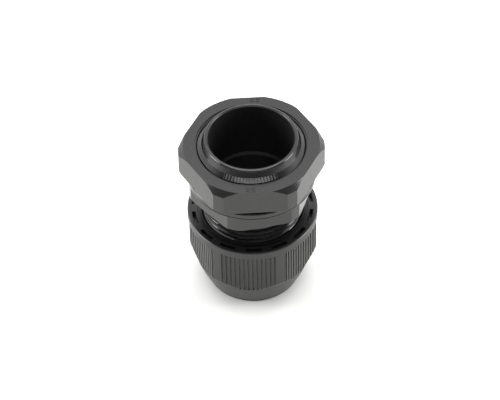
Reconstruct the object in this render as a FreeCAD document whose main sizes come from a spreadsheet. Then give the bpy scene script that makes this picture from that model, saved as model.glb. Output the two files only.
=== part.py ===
"""Cable gland: threaded body, lock nut, sealing washer, clamping claw, seal sleeve and dome nut.

Millimetres, +Z up. The origin is on the gland's axis, in the plane of the dome nut's end ring, on
which the gland stands with its entry thread upward. The front is -Y. A turn is measured in degrees
from the front toward +X. The dome nut is stored loosened by a few turns, so that the compression
thread shows between it and the body's hexagon.
"""
import FreeCAD, Part
import math
import os

import Sketcher

SIZES = [
    # dome nut
    ("dome_height", 32.5, "end ring to rim"),
    ("rim_dia", 45.6, "round collar at the rim"),
    ("collar_height", 3.2, "smooth collar above the ribs"),
    ("dome_corner_dia", 44.8, "across the rounded corners"),
    ("dome_across_flats", 40.6, "across the ribbed faces"),
    ("dome_face_turn", -5.0, "turn of the nearest face"),
    ("dome_length", 11.3, "length of the rounded end"),
    ("dome_curve", 45.0, "radius of the rounded end in section"),
    ("corner_run", 1.95, "radius that the corners lose before the rounded end"),
    ("corner_taper", 3.0, "height in which they lose it"),
    ("tip_dia", 33.0, "where the rounded end meets the end ring"),
    ("tip_round", 1.2, "edge radius of the end ring"),
    ("rib_pitch", 1.54, "spacing of the grip grooves"),
    ("groove_width", 0.86, "width of one grip groove"),
    ("groove_depth", 0.62, "grip groove in the middle of a face"),
    ("groove_count", 13, "grip grooves on each face"),
    ("groove_foot", 10.7, "lower end of the grip grooves"),
    ("groove_taper", 0.3, "angle at which a groove narrows downward"),
    ("recess_outer_dia", 43.2, "outer lip to the recess in the rim"),
    ("recess_inner_dia", 37.2, "recess to the inner lip"),
    ("recess_depth", 0.5, "recess in the rim"),
    ("ring_width", 0.8, "deeper ring beside the inner lip"),
    ("ring_depth", 1.2, "deeper ring below the rim"),
    ("pocket_circle_dia", 41.4, "middle of the moulding pockets"),
    ("pocket_width", 1.3, "radial width of a pocket"),
    ("pocket_arc", 16.0, "angle that a pocket covers"),
    ("pocket_floor", 0.6, "left under a pocket, above the collar's underside"),
    ("pocket_count", 14, "moulding pockets"),
    ("nut_thread_length", 10.5, "inner thread below the rim"),
    ("cable_hole_dia", 25.5, "largest cable and its clearance"),
    ("cable_hole_length", 3.0, "straight wall of the cable hole"),
    ("cone_height", 9.6, "squeezing cone above the cable hole"),
    ("cone_top_dia", 33.8, "wide end of the squeezing cone"),
    # compression thread
    ("comp_dia", 34.8, "crest of the body's compression thread"),
    ("comp_pitch", 2.4, "lead of the compression thread"),
    ("comp_depth", 0.9, "crest to root"),
    ("comp_floor", 0.7, "groove width at the root"),
    ("comp_mouth", 1.7, "groove width at the crest"),
    ("crest_ease", 0.16, "chamfer of the crest's edges"),
    ("comp_engaged", 7.0, "body thread inside the dome nut"),
    ("loosened_turns", 4, "turns between this state and tight"),
    ("seat_gap", 0.4, "rim to hexagon when tight"),
    # entry thread
    ("entry_dia", 37.0, "crest of the entry thread"),
    ("entry_pitch", 1.5875, "sixteen turns to the inch"),
    ("entry_depth", 0.8, "crest to root"),
    ("entry_floor", 0.24, "groove width at the root"),
    ("entry_mouth", 1.28, "groove width at the crest"),
    ("entry_length", 17.25, "washer's seat to mouth"),
    ("thread_gap", 0.28, "radial clearance at crests and roots"),
    ("flank_gap", 0.12, "axial clearance on each flank"),
    # body
    ("hex_height", 7.05, "body hexagon with the washer's seat"),
    ("seat_step", 0.4, "seat above the hexagon's round edge"),
    ("edge_thick", 0.4, "round edge above the flats"),
    ("hex_across_flats", 40.0, "body hexagon"),
    ("hex_corner_dia", 44.2, "across its rounded corners"),
    ("hex_face_turn", 11.6, "turn of the nearest face"),
    ("bore_dia", 29.8, "bore behind the mouth"),
    ("throat_dia", 28.4, "bore behind the seal seat"),
    ("seat_dia", 31.0, "mouth of the seal seat"),
    ("mouth_dia", 32.6, "outside of the mouth's lip"),
    ("pilot_dia", 34.2, "foot of the mouth's lip"),
    ("pilot_height", 2.6, "lip above the thread's first turn"),
    ("lead_in", 1.1, "height of the conical first turn"),
    ("notch_width", 1.0, "gaps between the bars on the first turn"),
    ("notch_floor", 0.16, "floor of a gap between two round bars"),
    ("notch_depth", 0.37, "floor of a gap below the bars, radial"),
    ("notch_count", 17, "gaps between the bars"),
    ("notch_step", 3.57, "angle between gaps"),
    ("notch_turn", -1.8, "turn of the middle of the barred sector"),
    # sealing washer and lock nut
    ("washer_dia", 44.4, "outside of the sealing washer"),
    ("washer_thick", 1.85, "sealing washer"),
    ("washer_gap", 0.3, "washer bore to thread crest, radial"),
    ("lock_lift", 1.8, "lock nut above the washer"),
    ("lock_height", 10.0, "lock nut"),
    ("lock_across_flats", 45.5, "lock nut"),
    ("lock_corner_dia", 50.4, "across its rounded corners"),
    ("lock_face_turn", 2.6, "turn of the nearest face"),
    ("lock_chamfer", 2.0, "drop of the top chamfer at the corners"),
    ("lock_face_dia", 46.9, "flat face inside the chamfer"),
    ("lock_ring_dia", 38.9, "counterbore round the thread"),
    ("lock_ring_depth", 0.4, "counterbore"),
    # clamping insert
    ("claw_gap", 0.35, "claw to squeezing cone, radial"),
    ("claw_wall", 0.95, "thickness of a finger, radial"),
    ("claw_flange", 1.4, "thickness of the claw's flange"),
    ("finger_length", 6.4, "below the flange"),
    ("finger_count", 16, "fingers of the claw"),
    ("finger_slot", 1.2, "gap between two fingers"),
    ("seal_bore_dia", 25.4, "seal sleeve"),
    ("seal_gap", 0.25, "seal sleeve to claw, radial"),
    ("seal_flange", 1.5, "thickness of the seal's flange"),
    ("seal_skirt", 5.6, "seal below its flange"),
]

LEVELS = [
    ("collar_z", "=dome_height - collar_height", "underside of the dome nut's collar"),
    ("cone_z", "=cable_hole_length + cone_height", "shoulder that the claw rests on"),
    ("cone_slope", "=(cone_top_dia - cable_hole_dia) / 2 / cone_height", "radius for each mm"),
    ("nut_thread_z", "=dome_height - nut_thread_length", "lower end of its inner thread"),
    ("comp_end_z", "=dome_height - comp_engaged", "end of the body inside the dome nut"),
    ("hex_z", "=dome_height + loosened_turns * comp_pitch + seat_gap", "body hexagon"),
    ("hex_top_z", "=hex_z + hex_height", "washer's seat"),
    ("lock_z", "=hex_top_z + washer_thick + lock_lift", "lock nut's underside"),
    ("lock_top_z", "=lock_z + lock_height", "lock nut's face"),
    ("mouth_z", "=hex_top_z + entry_length", "top of the gland"),
    ("claw_top_z", "=cone_z + claw_flange", "seal's seat on the claw"),
    ("comp_r", "=comp_dia / 2", "crest radius"),
    ("comp_root_r", "=comp_r - comp_depth", "root radius"),
    ("entry_r", "=entry_dia / 2", "crest radius"),
    ("entry_root_r", "=entry_r - entry_depth", "root radius"),
    ("comp_slope", "=(comp_mouth - comp_floor) / 2 / comp_depth", "flank's run for each mm"),
    ("entry_slope", "=(entry_mouth - entry_floor) / 2 / entry_depth", "flank's run for each mm"),
    ("bar_round", "=((notch_width - notch_floor)^2 / 4 + notch_depth^2) / (2 * notch_depth)",
     "radius of a bar's back"),
    ("lead_run", "=(entry_r - pilot_dia / 2) / lead_in", "first turn's radius for each mm"),
    ("comp_phase_z", "=comp_end_z - comp_pitch / 2", "groove's middle on the +X side"),
    ("entry_phase_z", "=mouth_z - pilot_height - 1.35", "groove's middle on the +X side"),
    ("entry_start_z", "=entry_phase_z - entry_pitch"
     " * floor((entry_phase_z - hex_top_z - entry_mouth / 2 - 0.1) / entry_pitch)",
     "groove's lower end, on the +X side"),
    ("relief_z", "=entry_start_z + entry_mouth / 2 + 0.2", "top of the undercut below the thread"),
]

doc = FreeCAD.newDocument("cable_gland")
sheet = doc.addObject("Spreadsheet::Sheet", "Sizes")
for row, (alias, value, note) in enumerate(SIZES + LEVELS, start=1):
    sheet.set(f"A{row}", alias)
    sheet.set(f"B{row}", str(value))
    sheet.set(f"C{row}", note)
    sheet.setAlias(f"B{row}", alias)
doc.recompute()


def from_sheet(formula):
    """Prefix every alias in a formula with the sheet's name."""
    names = {alias for alias, _, _ in SIZES + LEVELS}
    word, out = "", ""
    for letter in formula + " ":
        if letter.isalnum() or letter == "_":
            word += letter
            continue
        out += ("Sizes." if word in names else "") + word + letter
        word = ""
    return out.strip()


def new_body(label):
    """Start the PartDesign body of one sub-part; its label names the exported file."""
    body = doc.addObject("PartDesign::Body", label)
    body.Label = label
    return body


def place_sketch(body, label, plane="XZ_Plane", level=None, turn=None):
    """Add a sketch on an origin plane, raised to a level and turned about the gland's axis."""
    sketch = body.newObject("Sketcher::SketchObject", f"{body.Name}_{label}")
    base = next(f for f in body.Origin.OriginFeatures if f.Role == plane)
    sketch.AttachmentSupport = (base, [""])
    sketch.MapMode = "FlatFace"
    sketch.AttachmentOffset = FreeCAD.Placement(
        FreeCAD.Vector(0, 0, 0), FreeCAD.Rotation(FreeCAD.Vector(0, 0, 1), 1)
    ) if turn else FreeCAD.Placement()
    if level:
        sketch.setExpression(".AttachmentOffset.Base.z", from_sheet(level))
    if turn:
        sketch.setExpression(".AttachmentOffset.Rotation.Angle", from_sheet(turn))
    return sketch


def arc_between(start, end, radius, clockwise):
    """An arc of a radius from start to end, and which of its ends is the start."""
    chord = end - start
    side = -1 if clockwise else 1
    normal = FreeCAD.Vector(-chord.y, chord.x, 0).normalize() * side
    centre = (start + end) * 0.5 + normal * math.sqrt(max(radius**2 - (chord.Length / 2) ** 2, 0))
    first, last = (end, start) if clockwise else (start, end)
    angles = [math.atan2(p.y - centre.y, p.x - centre.x) for p in (first, last)]
    if angles[1] < angles[0]:
        angles[1] += 2 * math.pi
    circle = Part.Circle(centre, FreeCAD.Vector(0, 0, 1), radius)
    return Part.ArcOfCircle(circle, *angles), (2 if clockwise else 1)


def add_outline(sketch, corners):
    """Draw one closed outline; every corner is tied to the sheet.

    A corner is (x, y), or (x, y, radius) where an arc leads on to the next corner. A radius that
    starts with a minus sign bends the arc clockwise.
    """
    def value(formula):
        return float(sketch.evalExpression(from_sheet(formula)))

    points = [FreeCAD.Vector(value(c[0]), value(c[1]), 0) for c in corners]
    first = sketch.GeometryCount
    starts = []
    for i, corner in enumerate(corners):
        a, b = points[i], points[(i + 1) % len(points)]
        if len(corner) == 3:
            clockwise = corner[2].startswith("-")
            edge, start = arc_between(a, b, value(corner[2].lstrip("-")), clockwise)
        else:
            edge, start = Part.LineSegment(a, b), 1
        sketch.addGeometry(edge, False)
        starts.append(start)
    for i, corner in enumerate(corners):
        edge, following = first + i, first + (i + 1) % len(corners)
        sketch.addConstraint(Sketcher.Constraint(
            "Coincident", edge, 3 - starts[i], following, starts[(i + 1) % len(corners)]))
        for kind, formula, size in (
            ("DistanceX", corner[0], points[i].x), ("DistanceY", corner[1], points[i].y)
        ):
            index = sketch.addConstraint(
                Sketcher.Constraint(kind, -1, 1, edge, starts[i], size))
            sketch.setExpression(f"Constraints[{index}]", from_sheet(formula))
        if len(corner) == 3:
            bend = corner[2].lstrip("-")
            index = sketch.addConstraint(Sketcher.Constraint("Radius", edge, value(bend)))
            sketch.setExpression(f"Constraints[{index}]", from_sheet(bend))


def revolved(body, label, corners):
    """Turn a section, given as (radius, height) corners, about the gland's axis."""
    sketch = place_sketch(body, label)
    add_outline(sketch, corners)
    solid = body.newObject("PartDesign::Revolution", f"{body.Name}_turned_{label}")
    solid.Profile = sketch
    solid.ReferenceAxis = (sketch, ["V_Axis"])
    solid.Angle = 360
    return solid


def cut_down(body, label, sketch, depth):
    """Remove what a level sketch encloses, downward by a depth."""
    cut = body.newObject("PartDesign::Pocket", f"{body.Name}_cut_{label}")
    cut.Profile = sketch
    cut.setExpression("Length", from_sheet(depth))
    return cut


def repeat_round(body, label, feature, count, angle="360"):
    """Repeat a feature about the gland's axis."""
    pattern = body.newObject("PartDesign::PolarPattern", f"{body.Name}_round_{label}")
    pattern.Originals = [feature]
    pattern.Axis = (feature.Profile[0], ["N_Axis"])
    pattern.setExpression("Angle", from_sheet(angle))
    pattern.setExpression("Occurrences", from_sheet(count))
    body.Tip = pattern
    return pattern


def cut_flats(body, across_flats, level, depth, turn):
    """Cut six flats, leaving what is left of the round as the corners."""
    sketch = place_sketch(body, "flats", "XY_Plane", level, turn)
    corner = f"{across_flats} / 2 / cos(30)"
    add_outline(sketch, [
        (f"{corner} * sin({30 + 60 * k})", f"-({corner}) * cos({30 + 60 * k})") for k in range(6)])
    rim = sketch.addGeometry(Part.Circle(FreeCAD.Vector(), FreeCAD.Vector(0, 0, 1), 30), False)
    sketch.addConstraint(Sketcher.Constraint("Coincident", rim, 3, -1, 1))
    index = sketch.addConstraint(Sketcher.Constraint("Radius", rim, 30))
    sketch.setExpression(f"Constraints[{index}]", from_sheet(f"{across_flats} * 0.75"))
    return cut_down(body, "flats", sketch, depth)


def cut_thread(body, floor_r, mouth_r, floor_width, mouth_width, start, height, pitch, ease=None):
    """Cut a right-hand helical groove whose floor and mouth have the given radii and widths.

    The ease is a chamfer along both edges of the groove's mouth.
    """
    beyond = "+ 0.5" if body.Label == "gland_body" else "- 0.5"
    sketch = place_sketch(body, f"thread{len(body.Group)}")
    half_floor, half_mouth = f"({floor_width}) / 2", f"({mouth_width}) / 2"
    lower = [(floor_r, half_floor), (mouth_r, half_mouth), (f"{mouth_r} {beyond}", half_mouth)]
    if ease:
        lower[1:] = [(f"{mouth_r} - {ease}", f"{half_mouth} - {ease} * comp_slope"),
                     (mouth_r, f"{half_mouth} + {ease}"),
                     (f"{mouth_r} {beyond}", f"{half_mouth} + {ease}")]
    add_outline(sketch, [(r, f"{start} - ({half})") for r, half in lower]
                + [(r, f"{start} + {half}") for r, half in reversed(lower)])
    groove = body.newObject("PartDesign::SubtractiveHelix", f"{sketch.Name}_helix")
    groove.Profile = sketch
    groove.ReferenceAxis = (sketch, ["V_Axis"])
    groove.Mode = 0
    groove.setExpression("Pitch", from_sheet(pitch))
    groove.setExpression("Height", from_sheet(height))
    return groove


def nut_thread(body, kind, phase, low, high):
    """Cut a nut's thread to mesh with the body's thread of the same kind, clear of its flanks."""
    slope, floor_w, mouth_w = f"{kind}_slope", f"{kind}_floor", f"{kind}_mouth"
    pitch, gap = f"{kind}_pitch", "2 * thread_gap"
    start = f"({phase} + {pitch} / 2 - {pitch} * ceil(({phase} - ({low})) / {pitch} + 0.5))"
    cut_thread(
        body,
        f"{kind}_r + thread_gap",
        f"{kind}_root_r + thread_gap",
        f"{pitch} - {mouth_w} - {gap} * {slope} + 2 * flank_gap",
        f"{pitch} - {floor_w} - {gap} * {slope} + 2 * flank_gap",
        start, f"{high} - {start}", pitch,
    )


# ---- gland body: entry thread above the hexagon, compression thread below it
gland_body = new_body("gland_body")
revolved(gland_body, "section", [
    ("seat_dia / 2", "comp_end_z"),
    ("comp_root_r - 0.1", "comp_end_z"),
    ("comp_r", "comp_end_z + comp_depth + 0.1"),
    ("comp_r", "hex_z - 1.9"),
    ("comp_root_r - 0.1", "hex_z - 1.3"),
    ("comp_root_r - 0.1", "hex_z"),
    ("hex_corner_dia / 2 - 0.8", "hex_z"),
    ("hex_corner_dia / 2", "hex_z + 0.5"),
    ("hex_corner_dia / 2", "hex_top_z - seat_step"),
    ("hex_corner_dia / 2 - 0.5", "hex_top_z - seat_step"),
    ("hex_corner_dia / 2 - 0.5", "hex_top_z"),
    ("entry_root_r - 0.1", "hex_top_z"),
    ("entry_root_r - 0.1", "relief_z"),
    ("entry_r", "relief_z + 0.6"),
    ("entry_r", "mouth_z - pilot_height - lead_in"),
    ("pilot_dia / 2", "mouth_z - pilot_height"),
    ("mouth_dia / 2", "mouth_z - 0.8", "0.8"),
    ("mouth_dia / 2 - 0.8", "mouth_z"),
    ("bore_dia / 2 + 0.3", "mouth_z"),
    ("bore_dia / 2", "mouth_z - 0.3"),
    ("bore_dia / 2", "hex_top_z - 5"),
    ("throat_dia / 2", "hex_top_z - 6"),
    ("throat_dia / 2", "comp_end_z + 1.6"),
])
cut_flats(gland_body, "hex_across_flats", "hex_top_z - seat_step - edge_thick",
          "hex_height - seat_step - edge_thick", "hex_face_turn")
notch_ends = []
for name, level, radius in (
    ("high", "mouth_z - pilot_height + 0.1", "pilot_dia / 2 - 0.1 * lead_run"),
    ("low", "mouth_z - pilot_height - lead_in - 0.1", "entry_r + 0.1 * lead_run"),
):
    end = place_sketch(gland_body, f"notch_{name}", "XY_Plane", level,
                       "notch_turn - notch_step * (notch_count - 1) / 2")
    add_outline(end, [
        ("notch_width / -2", f"-({radius}) - 0.6"), ("notch_width / 2", f"-({radius}) - 0.6"),
        ("notch_width / 2", f"-({radius})", "-bar_round"),
        ("notch_floor / 2", f"notch_depth - ({radius})"),
        ("notch_floor / -2", f"notch_depth - ({radius})", "-bar_round"),
        ("notch_width / -2", f"-({radius})"),
    ])
    notch_ends.append(end)
notch = gland_body.newObject("PartDesign::SubtractiveLoft", "gland_body_notch")
notch.Profile = notch_ends[0]
notch.Sections = notch_ends[1:]
notch.Ruled = True
repeat_round(gland_body, "notch", notch, "notch_count", "notch_step * (notch_count - 1)")
cut_thread(gland_body, "comp_root_r", "comp_r", "comp_floor", "comp_mouth",
           "comp_phase_z", "hex_z - 1 - comp_phase_z", "comp_pitch", "crest_ease")
cut_thread(gland_body, "entry_root_r", "entry_r", "entry_floor", "entry_mouth",
           "entry_start_z", "mouth_z - 1.6 - entry_start_z", "entry_pitch")

# ---- sealing washer: flat ring that lies on the hexagon, loose on the entry thread
sealing_washer = new_body("sealing_washer")
revolved(sealing_washer, "section", [
    ("entry_r + washer_gap", "hex_top_z"),
    ("washer_dia / 2", "hex_top_z"),
    ("washer_dia / 2", "hex_top_z + washer_thick - 0.3"),
    ("washer_dia / 2 - 0.3", "hex_top_z + washer_thick"),
    ("entry_r + washer_gap", "hex_top_z + washer_thick"),
])

# ---- lock nut: hexagon with rounded corners and a wide top chamfer
lock_nut = new_body("lock_nut")
revolved(lock_nut, "section", [
    ("entry_r + thread_gap + 0.15", "lock_z"),
    ("lock_corner_dia / 2 - 0.7", "lock_z"),
    ("lock_corner_dia / 2", "lock_z + 0.5"),
    ("lock_corner_dia / 2", "lock_top_z - lock_chamfer"),
    ("lock_face_dia / 2", "lock_top_z"),
    ("lock_ring_dia / 2", "lock_top_z"),
    ("lock_ring_dia / 2", "lock_top_z - lock_ring_depth"),
    ("entry_r + thread_gap + 0.15", "lock_top_z - lock_ring_depth"),
    ("entry_root_r + thread_gap", "lock_top_z - lock_ring_depth - entry_depth - 0.15"),
    ("entry_root_r + thread_gap", "lock_z + entry_depth + 0.15"),
])
cut_flats(lock_nut, "lock_across_flats", "lock_top_z + 0.5", "lock_height + 1", "lock_face_turn")
nut_thread(lock_nut, "entry", "entry_phase_z", "lock_z - entry_mouth", "lock_top_z + entry_mouth")

# ---- dome nut: ribbed hexagon under a round collar, rounded end with the cable hole
dome_nut = new_body("dome_nut")
revolved(dome_nut, "section", [
    ("cable_hole_dia / 2", "0"),
    ("tip_dia / 2 - tip_round", "0", "tip_round"),
    ("tip_dia / 2", "tip_round", "dome_curve"),
    ("dome_corner_dia / 2 - corner_run", "dome_length"),
    ("dome_corner_dia / 2", "dome_length + corner_taper"),
    ("dome_corner_dia / 2", "collar_z"),
    ("rim_dia / 2 - 0.2", "collar_z"),
    ("rim_dia / 2", "collar_z + 0.2"),
    ("rim_dia / 2", "dome_height - 0.3"),
    ("rim_dia / 2 - 0.3", "dome_height"),
    ("recess_outer_dia / 2", "dome_height"),
    ("recess_outer_dia / 2", "dome_height - recess_depth"),
    ("recess_inner_dia / 2 + ring_width", "dome_height - recess_depth"),
    ("recess_inner_dia / 2 + ring_width", "dome_height - ring_depth"),
    ("recess_inner_dia / 2", "dome_height - ring_depth"),
    ("recess_inner_dia / 2", "dome_height"),
    ("comp_r + thread_gap + 0.3", "dome_height"),
    ("comp_root_r + thread_gap", "dome_height - comp_depth - 0.3"),
    ("comp_root_r + thread_gap", "nut_thread_z"),
    ("comp_r + thread_gap + 0.2", "nut_thread_z - comp_depth - 0.2"),
    ("comp_r + thread_gap + 0.2", "cone_z"),
    ("cone_top_dia / 2", "cone_z"),
    ("cable_hole_dia / 2", "cable_hole_length"),
])
cut_flats(dome_nut, "dome_across_flats", "collar_z", "collar_z", "dome_face_turn")
grip = place_sketch(dome_nut, "grip", "XY_Plane", "collar_z", "dome_face_turn")
groove_total = int(sheet.groove_count)
for number in range(groove_total):
    steps = number - (groove_total - 1) / 2
    middle = f"{steps} * rib_pitch"
    deep = f"groove_depth * {1 + 0.6 * (2 * steps / (groove_total - 1)) ** 2:.3f}"
    floor_y = f"-dome_across_flats / 2 + {deep}"
    add_outline(grip, [
        (f"{middle} - groove_width / 2", "-dome_across_flats / 2 - 2.5"),
        (f"{middle} + groove_width / 2", "-dome_across_flats / 2 - 2.5"),
        (f"{middle} + groove_width / 3", floor_y),
        (f"{middle} - groove_width / 3", floor_y),
    ])
grooves = cut_down(dome_nut, "grip", grip, "collar_z - groove_foot")
grooves.setExpression("TaperAngle", from_sheet("-groove_taper"))
repeat_round(dome_nut, "grip", grooves, "6")
pocket = place_sketch(dome_nut, "pocket", "XY_Plane", "dome_height")
pocket_in, pocket_out = ("(pocket_circle_dia - pocket_width) / 2",
                         "(pocket_circle_dia + pocket_width) / 2")
add_outline(pocket, [
    (f"-{pocket_in} * sin(pocket_arc / 2)", f"-{pocket_in} * cos(pocket_arc / 2)"),
    (f"-{pocket_out} * sin(pocket_arc / 2)", f"-{pocket_out} * cos(pocket_arc / 2)", pocket_out),
    (f"{pocket_out} * sin(pocket_arc / 2)", f"-{pocket_out} * cos(pocket_arc / 2)"),
    (f"{pocket_in} * sin(pocket_arc / 2)", f"-{pocket_in} * cos(pocket_arc / 2)",
     f"-{pocket_in}"),
])
repeat_round(dome_nut, "pocket",
             cut_down(dome_nut, "pocket", pocket, "collar_height - pocket_floor"), "pocket_count")
nut_thread(dome_nut, "comp", "comp_phase_z", "nut_thread_z - 1.5", "dome_height + comp_mouth")

# ---- clamping claw: flange on the dome nut's shoulder, fingers along its squeezing cone
clamping_claw = new_body("clamping_claw")
finger_drop = "finger_length * cone_slope"
revolved(clamping_claw, "section", [
    (f"cone_top_dia / 2 - claw_gap - claw_wall - {finger_drop}", "cone_z - finger_length"),
    (f"cone_top_dia / 2 - claw_gap - {finger_drop}", "cone_z - finger_length"),
    ("cone_top_dia / 2 - claw_gap", "cone_z"),
    ("cone_top_dia / 2 + 0.5", "cone_z"),
    ("cone_top_dia / 2 + 0.5", "claw_top_z"),
    ("cone_top_dia / 2 - claw_gap - claw_wall", "claw_top_z"),
    ("cone_top_dia / 2 - claw_gap - claw_wall", "cone_z"),
])
slot = place_sketch(clamping_claw, "slot", "XY_Plane", "cone_z")
add_outline(slot, [
    ("finger_slot / -2", "-cone_top_dia / 2 - 1"), ("finger_slot / 2", "-cone_top_dia / 2 - 1"),
    ("finger_slot / 2", "-seal_bore_dia / 2 + 1"), ("finger_slot / -2", "-seal_bore_dia / 2 + 1"),
])
repeat_round(clamping_claw, "slot",
             cut_down(clamping_claw, "slot", slot, "finger_length + 1"), "finger_count")

# ---- seal sleeve: tapered skirt inside the fingers, flange on the claw
seal_sleeve = new_body("seal_sleeve")
skirt_top = "cone_top_dia / 2 - claw_gap - claw_wall - seal_gap"
skirt_low = f"{skirt_top} - (seal_skirt - claw_flange) * cone_slope"
revolved(seal_sleeve, "section", [
    ("seal_bore_dia / 2", "claw_top_z - seal_skirt"),
    (skirt_low, "claw_top_z - seal_skirt"),
    (skirt_top, "cone_z"),
    (skirt_top, "claw_top_z"),
    ("cone_top_dia / 2 + 0.1", "claw_top_z"),
    ("cone_top_dia / 2 + 0.1", "claw_top_z + seal_flange"),
    ("seal_bore_dia / 2", "claw_top_z + seal_flange"),
])

doc.recompute()
for item in doc.Objects:
    if "Invalid" in item.State or "Error" in item.State:
        raise RuntimeError(f"{item.Label}: {item.State}")
os.makedirs("parts", exist_ok=True)
for body in (gland_body, sealing_washer, lock_nut, dome_nut, clamping_claw, seal_sleeve):
    if body.Shape.isNull() or not body.Shape.isValid():
        raise RuntimeError(f"{body.Label} has no valid shape")
    body.Shape.exportStep(f"parts/{body.Label}.step")
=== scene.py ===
"""A black plastic cable gland that stands on its dome nut, loosened so that the thread shows."""
import logging
import math
from dataclasses import dataclass, field
from enum import Enum

import bmesh
import bpy
from mathutils import Matrix, Vector


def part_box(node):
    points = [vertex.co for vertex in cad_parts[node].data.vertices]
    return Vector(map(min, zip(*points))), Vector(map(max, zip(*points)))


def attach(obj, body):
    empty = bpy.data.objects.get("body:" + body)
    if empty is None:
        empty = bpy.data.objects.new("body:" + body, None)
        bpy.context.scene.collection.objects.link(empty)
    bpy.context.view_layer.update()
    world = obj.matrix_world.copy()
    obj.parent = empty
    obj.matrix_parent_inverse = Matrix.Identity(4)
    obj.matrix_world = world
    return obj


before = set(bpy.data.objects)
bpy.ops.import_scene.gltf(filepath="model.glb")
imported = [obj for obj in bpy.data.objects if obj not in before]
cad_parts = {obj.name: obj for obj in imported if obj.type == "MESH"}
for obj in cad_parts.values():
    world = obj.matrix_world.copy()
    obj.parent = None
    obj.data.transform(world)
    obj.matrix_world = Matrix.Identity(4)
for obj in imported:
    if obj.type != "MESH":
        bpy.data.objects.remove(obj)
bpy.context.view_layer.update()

log = logging.getLogger("cable_gland")

MM = 0.001
SENSOR_WIDTH = 36.0
NYLON_IOR = 1.53
RUBBER_IOR = 1.52
NOISE_BAND = (0.3, 0.7)


class Sheen(Enum):
    """How a moulded surface takes the light, as the roughness of its skin."""

    POLISHED = 0.14
    SATIN = 0.27
    EGGSHELL = 0.36
    MATT = 0.5


class NodeSheet:
    """A small helper that lays out a material's shader nodes."""

    def __init__(self, name: str) -> None:
        """Start an empty material with its surface shader.

        Args:
            name: the material's name.
        """
        self.material = bpy.data.materials.new(name)
        self.material.use_nodes = True
        self.tree = self.material.node_tree
        self.tree.nodes.clear()
        self.output = self.tree.nodes.new("ShaderNodeOutputMaterial")
        self.shader = self.tree.nodes.new("ShaderNodeBsdfPrincipled")
        self.link(self.shader.outputs["BSDF"], self.output.inputs["Surface"])
        self.place = self.tree.nodes.new("ShaderNodeTexCoord").outputs["Object"]

    def link(self, source: bpy.types.NodeSocket, target: bpy.types.NodeSocket) -> None:
        """Join two sockets.

        Args:
            source: the socket that gives the value.
            target: the socket that takes it.
        """
        self.tree.links.new(source, target)

    def add(self, kind: str, **settings: object) -> bpy.types.Node:
        """Add one node.

        Args:
            kind: the node's type name.
            settings: its properties.

        Returns:
            The new node.
        """
        node = self.tree.nodes.new(kind)
        for key, value in settings.items():
            setattr(node, key, value)
        return node

    def noise(self, scale: float, detail: float = 3.0) -> bpy.types.NodeSocket:
        """Add a noise pattern on the object's own coordinates.

        Args:
            scale: repeats for each metre.
            detail: octaves of finer noise.

        Returns:
            The pattern's value.
        """
        node = self.add("ShaderNodeTexNoise")
        node.inputs["Scale"].default_value = scale
        node.inputs["Detail"].default_value = detail
        self.link(self.place, node.inputs["Vector"])
        return node.outputs["Fac"]

    def math(self, operation: str, *values: object) -> bpy.types.NodeSocket:
        """Combine sockets or numbers.

        Args:
            operation: the Math node's operation.
            values: each operand, a socket or a number.

        Returns:
            The result.
        """
        node = self.add("ShaderNodeMath", operation=operation)
        for socket, value in zip(node.inputs, values):
            if isinstance(value, bpy.types.NodeSocket):
                self.link(value, socket)
            else:
                socket.default_value = value
        return node.outputs[0]

    def spread(self, value: bpy.types.NodeSocket, low: float, high: float,
               to_low: float, to_high: float) -> bpy.types.NodeSocket:
        """Map a value from one range to another, with no overshoot.

        Args:
            value: what is mapped.
            low: start of its range.
            high: end of its range.
            to_low: result at the start.
            to_high: result at the end.

        Returns:
            The mapped value.
        """
        node = self.add("ShaderNodeMapRange")
        self.link(value, node.inputs["Value"])
        for name, number in (("From Min", low), ("From Max", high),
                             ("To Min", to_low), ("To Max", to_high)):
            node.inputs[name].default_value = number
        return node.outputs["Result"]

    def tint(self, value: bpy.types.NodeSocket, dark: float, light: float,
             blue: float = 1.02) -> None:
        """Colour the surface between two greys.

        Args:
            value: from 0 to 1.
            dark: the grey at 0.
            light: the grey at 1.
            blue: the blue channel's share of the grey.
        """
        ramp = self.add("ShaderNodeValToRGB")
        ramp.color_ramp.elements[0].color = (dark, dark, dark * blue, 1)
        ramp.color_ramp.elements[1].color = (light, light, light * blue, 1)
        self.link(value, ramp.inputs["Fac"])
        self.link(ramp.outputs["Color"], self.shader.inputs["Base Color"])

    def bump(self, height: bpy.types.NodeSocket, depth: float) -> None:
        """Give the surface a fine relief.

        Args:
            height: the relief, from 0 to 1.
            depth: its depth in metres.
        """
        node = self.add("ShaderNodeBump")
        node.inputs["Strength"].default_value = 1.0
        node.inputs["Distance"].default_value = depth
        self.link(height, node.inputs["Height"])
        self.link(node.outputs["Normal"], self.shader.inputs["Normal"])

    def radius(self) -> bpy.types.NodeSocket:
        """Measure the distance from the gland's axis.

        Returns:
            The distance in metres.
        """
        apart = self.add("ShaderNodeSeparateXYZ")
        self.link(self.place, apart.inputs["Vector"])
        squares = [self.math("MULTIPLY", apart.outputs[axis], apart.outputs[axis])
                   for axis in ("X", "Y")]
        return self.math("SQRT", self.math("ADD", *squares))


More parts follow.
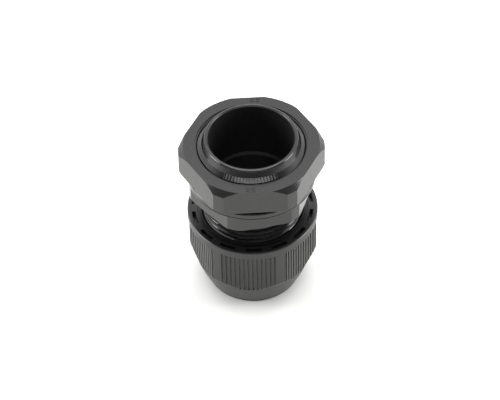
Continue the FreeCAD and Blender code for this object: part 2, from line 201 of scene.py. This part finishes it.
@dataclass(frozen=True)
class MouldedNylon:
    """Black moulded nylon: a dark body colour under a skin whose gloss wanders a little.

    Within matt_inside of the axis, in metres, the skin is the dull one of a cored hole, and
    matt_edge is how far it takes to turn glossy. A scale is a pattern's repeats for each metre.
    """

    name: str
    sheen: Sheen = Sheen.SATIN
    grey: float = 0.005
    flow_marks: float = 0.03
    grain_depth: float = 3e-6
    matt_inside: float = 0.0
    matt_edge: float = 0.2 * MM
    cloud_scale: float = 90.0
    streak_scale: float = 420.0
    grain_scale: float = 5200.0

    def make(self) -> bpy.types.Material:
        """Build the material.

        Returns:
            The finished material.
        """
        sheet = NodeSheet(self.name)
        cloud = sheet.noise(self.cloud_scale, 4.0)
        streak = sheet.noise(self.streak_scale, 2.0)
        sheet.tint(cloud, self.grey * 0.8, self.grey * 1.25)
        mottled = sheet.math("ADD", sheet.math("MULTIPLY", cloud, 0.7),
                             sheet.math("MULTIPLY", streak, 0.3))
        rough = sheet.spread(mottled, *NOISE_BAND, self.sheen.value - self.flow_marks,
                             self.sheen.value + self.flow_marks)
        if self.matt_inside:
            skin = sheet.spread(sheet.radius(), self.matt_inside,
                                self.matt_inside + self.matt_edge, 0.0, 1.0)
            away = sheet.math("SUBTRACT", rough, Sheen.MATT.value)
            rough = sheet.math("MULTIPLY_ADD", away, skin, Sheen.MATT.value)
        sheet.link(rough, sheet.shader.inputs["Roughness"])
        sheet.shader.inputs["IOR"].default_value = NYLON_IOR
        sheet.bump(sheet.noise(self.grain_scale, 3.0), self.grain_depth)
        return sheet.material


@dataclass(frozen=True)
class MouldedRubber:
    """Black rubber with a soft bloom over a smooth skin.

    A scale is a pattern's repeats for each metre.
    """

    name: str
    grey: float = 0.007
    sheen: Sheen = Sheen.SATIN
    bloom: float = 0.05
    grain_depth: float = 5e-6
    bloom_scale: float = 160.0
    grain_scale: float = 3800.0

    def make(self) -> bpy.types.Material:
        """Build the material.

        Returns:
            The finished material.
        """
        sheet = NodeSheet(self.name)
        bloom = sheet.noise(self.bloom_scale, 5.0)
        sheet.tint(bloom, self.grey * 0.75, self.grey * 1.4)
        rough = sheet.spread(bloom, *NOISE_BAND, self.sheen.value - self.bloom,
                             self.sheen.value + self.bloom)
        sheet.link(rough, sheet.shader.inputs["Roughness"])
        sheet.shader.inputs["IOR"].default_value = RUBBER_IOR
        sheet.bump(sheet.noise(self.grain_scale, 4.0), self.grain_depth)
        return sheet.material


Finish = MouldedNylon | MouldedRubber


def dress_node(node: str, finish: Finish) -> bpy.types.Material:
    """Give a node of the frame its finish.

    Args:
        node: the node's name.
        finish: what it is made of.

    Returns:
        The material that it took.
    """
    material = finish.make()
    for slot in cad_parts[node].material_slots:
        slot.material = material
    log.info("dressed %s", node)
    return material


@dataclass
class GlandBody:
    """The threaded body, polished by its mould, with a dull bore."""

    node: str = "gland_body"
    bore_radius: float = 15.0 * MM

    def build(self) -> None:
        """Dress the body."""
        dress_node(self.node, MouldedNylon("body_nylon", Sheen.POLISHED, flow_marks=0.02,
                                           matt_inside=self.bore_radius))


@dataclass
class RaisedNumber:
    """A size number in raised strokes on a level ring, each digit seven strokes or fewer.

    The place of a stroke in its digit is counted clockwise from the top, the middle one last.
    """

    digits: str
    ring_radius: float
    level: float
    turn: float = 0.0
    tall: float = 1.8 * MM
    wide: float = 1.15 * MM
    stroke: float = 0.24 * MM
    proud: float = 0.14 * MM
    gap: float = 0.75 * MM

    STROKES = {"0": "abcdef", "1": "bc", "2": "abdeg", "3": "abcdg", "4": "bcfg", "5": "acdfg",
               "6": "acdefg", "7": "abc", "8": "abcdefg", "9": "abcdfg"}

    def stroke_box(self, letter: str) -> tuple[float, float, float, float]:
        """Find a stroke's middle and size in its digit.

        Args:
            letter: the stroke, from a to g.

        Returns:
            Its middle across and up, and its size across and up.
        """
        half_w, half_h = (self.wide - self.stroke) / 2, (self.tall - self.stroke) / 2
        level = {"a": half_h, "d": -half_h, "g": 0.0}
        if letter in level:
            return 0.0, level[letter], self.wide, self.stroke
        side = half_w if letter in "bc" else -half_w
        rise = half_h / 2 if letter in "bf" else -half_h / 2
        return side, rise, self.stroke, half_h + self.stroke

    def build(self, name: str) -> bpy.types.Object:
        """Build the number.

        Args:
            name: the new object's name.

        Returns:
            The number, in place.
        """
        shape = bmesh.new()
        step = self.wide + self.gap
        for place, digit in enumerate(self.digits):
            across = (place - (len(self.digits) - 1) / 2) * step
            for letter in self.STROKES[digit]:
                x, y, width, height = self.stroke_box(letter)
                self.add_stroke(shape, across + x, y, width, height)
        bmesh.ops.rotate(shape, verts=shape.verts, cent=(0, 0, 0),
                         matrix=Matrix.Rotation(math.radians(self.turn), 3, "Z"))
        bmesh.ops.recalc_face_normals(shape, faces=shape.faces)
        mesh = bpy.data.meshes.new(name)
        shape.to_mesh(mesh)
        shape.free()
        number = bpy.data.objects.new(name, mesh)
        bpy.context.scene.collection.objects.link(number)
        return number

    def add_stroke(self, shape: bmesh.types.BMesh, across: float, up: float, width: float,
                   height: float) -> None:
        """Add one stroke with soft edges, its foot just below the ring's face.

        Args:
            shape: the number being built.
            across: the stroke's middle, along the ring.
            up: its middle, toward the axis.
            width: its size across.
            height: its size toward the axis.
        """
        sunk = self.proud * 0.5
        place = Matrix.Translation((across, up - self.ring_radius,
                                    self.level + (self.proud - sunk) / 2))
        size = Matrix.Diagonal((width, height, self.proud + sunk, 1.0))
        made = bmesh.ops.create_cube(shape, size=1.0, matrix=place @ size)
        edges = {edge for vert in made["verts"] for edge in vert.link_edges}
        bmesh.ops.bevel(shape, geom=list(edges), offset=self.proud * 0.3, affect="EDGES",
                        segments=2, profile=0.5, material=-1)


@dataclass
class LockNut:
    """The hexagonal lock nut, with its size number raised at the front and at the back."""

    node: str = "lock_nut"
    body: str = "locknut"
    number: str = "29"
    number_radius: float = 21.5 * MM
    number_turns: tuple[float, float] = (-1.5, 176.0)

    def build(self) -> None:
        """Dress the nut and add its number."""
        nylon = dress_node(self.node, MouldedNylon("lock_nut_nylon", grey=0.006))
        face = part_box(self.node)[1].z
        for side, turn in zip(("front", "back"), self.number_turns):
            mark = RaisedNumber(self.number, self.number_radius, face, turn)
            piece = mark.build(f"lock_nut_number_{side}")
            piece.data.materials.append(nylon)
            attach(piece, self.body)


@dataclass
class SealingWasher:
    """The flat rubber ring under the lock nut."""

    node: str = "sealing_washer"

    def build(self) -> None:
        """Dress the washer."""
        dress_node(self.node, MouldedRubber("washer_rubber"))


@dataclass
class DomeNut:
    """The ribbed dome nut."""

    node: str = "dome_nut"

    def build(self) -> None:
        """Dress the nut."""
        dress_node(self.node, MouldedNylon("dome_nut_nylon", Sheen.EGGSHELL, grey=0.004))


@dataclass
class ClampingInsert:
    """The claw and the seal that the dome nut squeezes round the cable."""

    claw: str = "clamping_claw"
    seal: str = "seal_sleeve"

    def build(self) -> None:
        """Dress both pieces."""
        dress_node(self.claw, MouldedNylon("claw_nylon", Sheen.MATT))
        dress_node(self.seal, MouldedRubber("seal_rubber", sheen=Sheen.MATT))


@dataclass(frozen=True)
class SoftBox:
    """One soft box, which faces a point on the gland's axis at the height aim.

    Its bearing is counted from the back toward +X, in degrees, and its brightness is a radiance.
    """

    name: str
    bearing: float
    rise: float
    distance: float
    width: float
    height: float
    brightness: float
    aim: float = 35 * MM

    def hang(self) -> None:
        """Put the box in its place."""
        lamp = bpy.data.lights.new(self.name, "AREA")
        lamp.shape = "RECTANGLE"
        lamp.size, lamp.size_y = self.width, self.height
        lamp.energy = self.brightness * math.pi * self.width * self.height
        turn, rise = math.radians(self.bearing), math.radians(self.rise)
        way = Vector((math.sin(turn) * math.cos(rise), math.cos(turn) * math.cos(rise),
                      math.sin(rise)))
        box = bpy.data.objects.new(self.name, lamp)
        box.location = way * self.distance + Vector((0, 0, self.aim))
        box.rotation_euler = (-way).to_track_quat("-Z", "Y").to_euler()
        bpy.context.scene.collection.objects.link(box)


@dataclass
class Studio:
    """A white sweep behind the gland, a dark room in front of it, soft boxes, and the camera.

    The camera looks at a point that lies aim_left and aim_up of look_at, across its view. The
    sweep's and the room's brightness blend between fade_front and fade_back, both Y parts of a
    direction.
    """

    elevation: float = 46.83
    roll: float = -1.18
    distance: float = 0.945
    lens: float = 194.4
    look_at: Vector = field(default_factory=lambda: Vector((0, 0, 32.5 * MM)))
    aim_left: float = 0.875 * MM
    aim_up: float = 1.9495 * MM
    floor_half: float = 6.0
    sweep: float = 1.65
    room: float = 0.25
    fade_front: float = -0.3
    fade_back: float = 0.1
    boxes: tuple[SoftBox, ...] = (
        SoftBox("roof_box", 0.0, 82.0, 0.9, 0.9, 0.7, 3.0),
        SoftBox("front_box", 180.0, 60.0, 1.1, 1.0, 0.25, 3.5),
        SoftBox("left_box", -93.0, 17.0, 0.8, 0.35, 0.4, 9.0),
        SoftBox("right_box", 93.0, 17.0, 0.8, 0.35, 0.4, 9.0),
    )

    def build(self) -> None:
        """Make the floor, the lights and the camera."""
        self.make_floor()
        self.make_room()
        for box in self.boxes:
            box.hang()
        self.make_camera()

    def make_floor(self) -> None:
        """Lay one plain white sheet under the gland."""
        mesh = bpy.data.meshes.new("floor")
        shape = bmesh.new()
        bmesh.ops.create_grid(shape, x_segments=1, y_segments=1,
                              size=self.floor_half)
        shape.to_mesh(mesh)
        shape.free()
        floor = bpy.data.objects.new("floor", mesh)
        bpy.context.scene.collection.objects.link(floor)
        sheet = NodeSheet("white_paper")
        sheet.tint(sheet.noise(2.0), 0.8, 0.82, 0.98)
        sheet.shader.inputs["Roughness"].default_value = 0.9
        sheet.shader.inputs["Specular IOR Level"].default_value = 0.1
        mesh.materials.append(sheet.material)

    def make_room(self) -> None:
        """Fill the back half of the room with the white sweep, and dim the front half."""
        world = bpy.data.worlds.new("room")
        bpy.context.scene.world = world
        world.use_nodes = True
        tree = world.node_tree
        way = tree.nodes.new("ShaderNodeTexCoord")
        apart = tree.nodes.new("ShaderNodeSeparateXYZ")
        spread = tree.nodes.new("ShaderNodeMapRange")
        spread.interpolation_type = "SMOOTHSTEP"
        tree.links.new(way.outputs["Generated"], apart.inputs["Vector"])
        tree.links.new(apart.outputs["Y"], spread.inputs["Value"])
        for name, number in (("From Min", self.fade_front), ("From Max", self.fade_back),
                             ("To Min", self.room), ("To Max", self.sweep)):
            spread.inputs[name].default_value = number
        paint = tree.nodes["Background"]
        paint.inputs["Color"].default_value = (1, 1, 1, 1)
        tree.links.new(spread.outputs["Result"], paint.inputs["Strength"])

    def make_camera(self) -> None:
        """Set the camera to the viewing angle, with its slight roll and its framing."""
        tilt, roll = math.radians(self.elevation), math.radians(self.roll)
        back = Vector((0, -math.cos(tilt), math.sin(tilt)))
        rise = Vector((0, math.sin(tilt), math.cos(tilt)))
        side = Vector((1, 0, 0))
        right = side * math.cos(roll) + rise * math.sin(roll)
        up = rise * math.cos(roll) - side * math.sin(roll)
        aim = self.look_at - right * self.aim_left + up * self.aim_up
        data = bpy.data.cameras.new("camera")
        data.sensor_width = SENSOR_WIDTH
        data.lens = self.lens
        data.clip_start = 0.01
        camera = bpy.data.objects.new("camera", data)
        camera.matrix_world = Matrix((
            (right.x, up.x, back.x, aim.x + back.x * self.distance),
            (right.y, up.y, back.y, aim.y + back.y * self.distance),
            (right.z, up.z, back.z, aim.z + back.z * self.distance),
            (0, 0, 0, 1),
        ))
        bpy.context.scene.collection.objects.link(camera)
        bpy.context.scene.camera = camera


def write_sizes() -> None:
    """Bring the scene's view layer up to date."""
    bpy.context.view_layer.update()


def main() -> None:
    """Build every sub-assembly's looks, then the studio."""
    logging.basicConfig(level=logging.INFO)
    bpy.context.scene.view_settings.view_transform = "Standard"
    for part in (GlandBody(), LockNut(), SealingWasher(), DomeNut(), ClampingInsert()):
        part.build()
    Studio().build()
    write_sizes()


if __name__ == "__main__":
    main()
